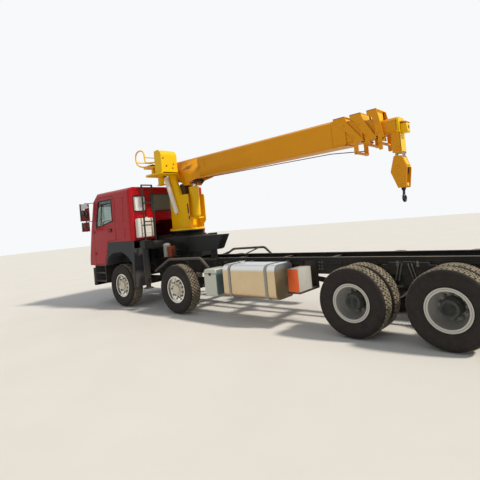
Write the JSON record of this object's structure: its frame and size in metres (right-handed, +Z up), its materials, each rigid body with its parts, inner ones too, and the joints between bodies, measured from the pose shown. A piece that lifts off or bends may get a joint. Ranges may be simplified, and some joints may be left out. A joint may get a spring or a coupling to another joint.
{
  "type": "truck-mounted telescopic crane",
  "caption": "Four-axle forward-control truck with a telescopic boom crane on a slewing column behind the sleeper cab, outriggers, and a bare chassis frame behind.",
  "frame": {"origin": "on the ground, at the middle of the vehicle's length and width", "axes": "+X forward, +Y to the vehicle's left, +Z up"},
  "size_m": [10.25, 3.1746, 4.0008],
  "materials": {
    "cab_red": "glossy red paint",
    "crane_yellow": "yellow crane paint",
    "frame_black": "black chassis paint, dusty",
    "cast_iron": "rough cast, painted black",
    "glass": "tinted glass",
    "trim_grey": "grained cab trim",
    "plastic_black": "moulded dark plastic",
    "lamp_lens": "clear lens",
    "aluminium": "brushed fuel tank",
    "wheel_aluminium": "polished forged wheel",
    "wheel_steel": "grey painted steel wheel",
    "box_grey": "pale grey green paint",
    "leather_black": "black seat vinyl",
    "chrome": "hard chromed rod",
    "steel": "oiled steel",
    "tyre": "dusty black rubber"
  },
  "bodies": {
    "chassis": {"chassis_frame": "frame_black", "front_axles": "cast_iron", "rear_axles": "cast_iron", "springs": "frame_black", "driveline": "cast_iron", "cab_shell": "cab_red", "cab_glass": "glass", "cab_interior": "trim_grey", "front_bumper": "plastic_black", "lamps": "lamp_lens", "grille": "plastic_black", "mirrors": "plastic_black", "wheel_arches": "plastic_black", "access_steps": "frame_black", "fuel_tank": "aluminium", "side_boxes": "box_grey", "fender_stays": "frame_black", "tail_bar": "frame_black", "crane_base": "frame_black"},
    "steer_front_left": {"knuckle_front_left": "cast_iron"},
    "wheel_front_left": {"rim_front_left": "wheel_aluminium", "tyre_front_left": "tyre"},
    "steer_front_right": {"knuckle_front_right": "cast_iron"},
    "wheel_front_right": {"rim_front_right": "wheel_aluminium", "tyre_front_right": "tyre"},
    "steer_second_left": {"knuckle_second_left": "cast_iron"},
    "wheel_second_left": {"rim_second_left": "wheel_aluminium", "tyre_second_left": "tyre"},
    "steer_second_right": {"knuckle_second_right": "cast_iron"},
    "wheel_second_right": {"rim_second_right": "wheel_aluminium", "tyre_second_right": "tyre"},
    "wheels_third_left": {"rims_third_left": "wheel_steel", "tyres_third_left": "tyre"},
    "wheels_third_right": {"rims_third_right": "wheel_steel", "tyres_third_right": "tyre"},
    "wheels_fourth_left": {"rims_fourth_left": "wheel_steel", "tyres_fourth_left": "tyre"},
    "wheels_fourth_right": {"rims_fourth_right": "wheel_steel", "tyres_fourth_right": "tyre"},
    "door_left": {"door_left": "cab_red", "door_glass_left": "glass"},
    "outrigger_left": {"outrigger_beam_left": "frame_black"},
    "leg_left": {"outrigger_leg_left": "chrome"},
    "door_right": {"door_right": "cab_red", "door_glass_right": "glass"},
    "outrigger_right": {"outrigger_beam_right": "frame_black"},
    "leg_right": {"outrigger_leg_right": "chrome"},
    "crane": {"crane_column": "crane_yellow", "seat_platform": "crane_yellow", "operator_seat": "leather_black"},
    "boom_1": {"boom_section_1": "crane_yellow", "hoist_rope": "steel"},
    "boom_2": {"boom_section_2": "crane_yellow"},
    "boom_3": {"boom_section_3": "crane_yellow"},
    "boom_4": {"boom_section_4": "crane_yellow"},
    "ram_barrel": {"ram_barrel": "crane_yellow"},
    "ram_rod": {"ram_rod": "chrome"},
    "winch": {"winch_drum": "steel"},
    "hook_block": {"hook_block": "crane_yellow"},
    "hook": {"hook": "steel"}
  },
  "joints": [
    {"name": "steer_front_left", "type": "hinge", "parent": "chassis", "child": "steer_front_left", "pos_m": [3.625, 0.87, 0.55], "axis": [0, 0, 1], "range_deg": [-32, 32]},
    {"name": "spin_front_left", "type": "hinge", "parent": "steer_front_left", "child": "wheel_front_left", "pos_m": [3.625, 1.045, 0.55], "axis": [0, 1, 0], "continuous": true},
    {"name": "steer_front_right", "type": "hinge", "parent": "chassis", "child": "steer_front_right", "pos_m": [3.625, -0.87, 0.55], "axis": [0, 0, 1], "range_deg": [-32, 32]},
    {"name": "spin_front_right", "type": "hinge", "parent": "steer_front_right", "child": "wheel_front_right", "pos_m": [3.625, -1.045, 0.55], "axis": [0, 1, 0], "continuous": true},
    {"name": "steer_second_left", "type": "hinge", "parent": "chassis", "child": "steer_second_left", "pos_m": [1.425, 0.87, 0.55], "axis": [0, 0, 1], "range_deg": [-22, 22]},
    {"name": "spin_second_left", "type": "hinge", "parent": "steer_second_left", "child": "wheel_second_left", "pos_m": [1.425, 1.045, 0.55], "axis": [0, 1, 0], "continuous": true},
    {"name": "steer_second_right", "type": "hinge", "parent": "chassis", "child": "steer_second_right", "pos_m": [1.425, -0.87, 0.55], "axis": [0, 0, 1], "range_deg": [-22, 22]},
    {"name": "spin_second_right", "type": "hinge", "parent": "steer_second_right", "child": "wheel_second_right", "pos_m": [1.425, -1.045, 0.55], "axis": [0, 1, 0], "continuous": true},
    {"name": "spin_third_left", "type": "hinge", "parent": "chassis", "child": "wheels_third_left", "pos_m": [-2.775, 1.045, 0.55], "axis": [0, 1, 0], "continuous": true},
    {"name": "spin_third_right", "type": "hinge", "parent": "chassis", "child": "wheels_third_right", "pos_m": [-2.775, -1.045, 0.55], "axis": [0, 1, 0], "continuous": true},
    {"name": "spin_fourth_left", "type": "hinge", "parent": "chassis", "child": "wheels_fourth_left", "pos_m": [-4.125, 1.045, 0.55], "axis": [0, 1, 0], "continuous": true},
    {"name": "spin_fourth_right", "type": "hinge", "parent": "chassis", "child": "wheels_fourth_right", "pos_m": [-4.125, -1.045, 0.55], "axis": [0, 1, 0], "continuous": true},
    {"name": "door_left", "type": "hinge", "parent": "chassis", "child": "door_left", "pos_m": [4.7495, 1.264, 1.7], "axis": [0, 0, -1], "range_deg": [0, 70]},
    {"name": "outrigger_out_left", "type": "slide", "parent": "chassis", "child": "outrigger_left", "axis": [0, 1, 0], "range_m": [0, 0.7]},
    {"name": "jack_down_left", "type": "slide", "parent": "outrigger_left", "child": "leg_left", "axis": [0, 0, -1], "range_m": [0, 0.55]},
    {"name": "door_right", "type": "hinge", "parent": "chassis", "child": "door_right", "pos_m": [4.7495, -1.264, 1.7], "axis": [0, 0, 1], "range_deg": [0, 70]},
    {"name": "outrigger_out_right", "type": "slide", "parent": "chassis", "child": "outrigger_right", "axis": [0, -1, 0], "range_m": [0, 0.7]},
    {"name": "jack_down_right", "type": "slide", "parent": "outrigger_right", "child": "leg_right", "axis": [0, 0, -1], "range_m": [0, 0.55]},
    {"name": "crane_slew", "type": "hinge", "parent": "chassis", "child": "crane", "pos_m": [2.215, 0, 1.85], "axis": [0, 0, 1], "continuous": true},
    {"name": "boom_luff", "type": "hinge", "parent": "crane", "child": "boom_1", "pos_m": [2.335, 0, 3.36], "axis": [0, 1, 0], "range_deg": [0, 75]},
    {"name": "boom_out_2", "type": "slide", "parent": "boom_1", "child": "boom_2", "axis": [-1, 0, 0], "range_m": [0, 4]},
    {"name": "boom_out_3", "type": "slide", "parent": "boom_2", "child": "boom_3", "axis": [-1, 0, 0], "range_m": [0, 4]},
    {"name": "boom_out_4", "type": "slide", "parent": "boom_3", "child": "boom_4", "axis": [-1, 0, 0], "range_m": [0, 4]},
    {"name": "ram_swing", "type": "hinge", "parent": "crane", "child": "ram_barrel", "pos_m": [1.845, 0, 2.13], "axis": [0, -1, 0], "range_deg": [0, 2]},
    {"name": "ram_extend", "type": "slide", "parent": "ram_barrel", "child": "ram_rod", "axis": [0, 0, 1], "range_m": [0, 0.7459]},
    {"name": "winch_turn", "type": "hinge", "parent": "boom_1", "child": "winch", "pos_m": [1.68, 0, 3.042], "axis": [0, 1, 0], "continuous": true},
    {"name": "hook_hang", "type": "hinge", "parent": "boom_4", "child": "hook_block", "pos_m": [-3.325, 0, 2.91], "axis": [0, 1, 0], "range_deg": [-75, 0]},
    {"name": "hook_swivel", "type": "hinge", "parent": "hook_block", "child": "hook", "pos_m": [-3.325, 0, 2.2], "axis": [0, 0, 1], "continuous": true}
  ],
  "couplings": [
    {"joint": "steer_front_right", "follows": "steer_front_left", "ratio": 1},
    {"joint": "steer_second_left", "follows": "steer_front_left", "ratio": 0.6875},
    {"joint": "steer_second_right", "follows": "steer_front_left", "ratio": 0.6875},
    {"joint": "boom_out_3", "follows": "boom_out_2", "ratio": 1},
    {"joint": "boom_out_4", "follows": "boom_out_2", "ratio": 1},
    {"joint": "ram_swing", "follows": "boom_luff", "ratio": 0.02},
    {"joint": "ram_extend", "follows": "boom_luff", "m_per_rad": 0.56827},
    {"joint": "hook_hang", "follows": "boom_luff", "ratio": -1}
  ]
}
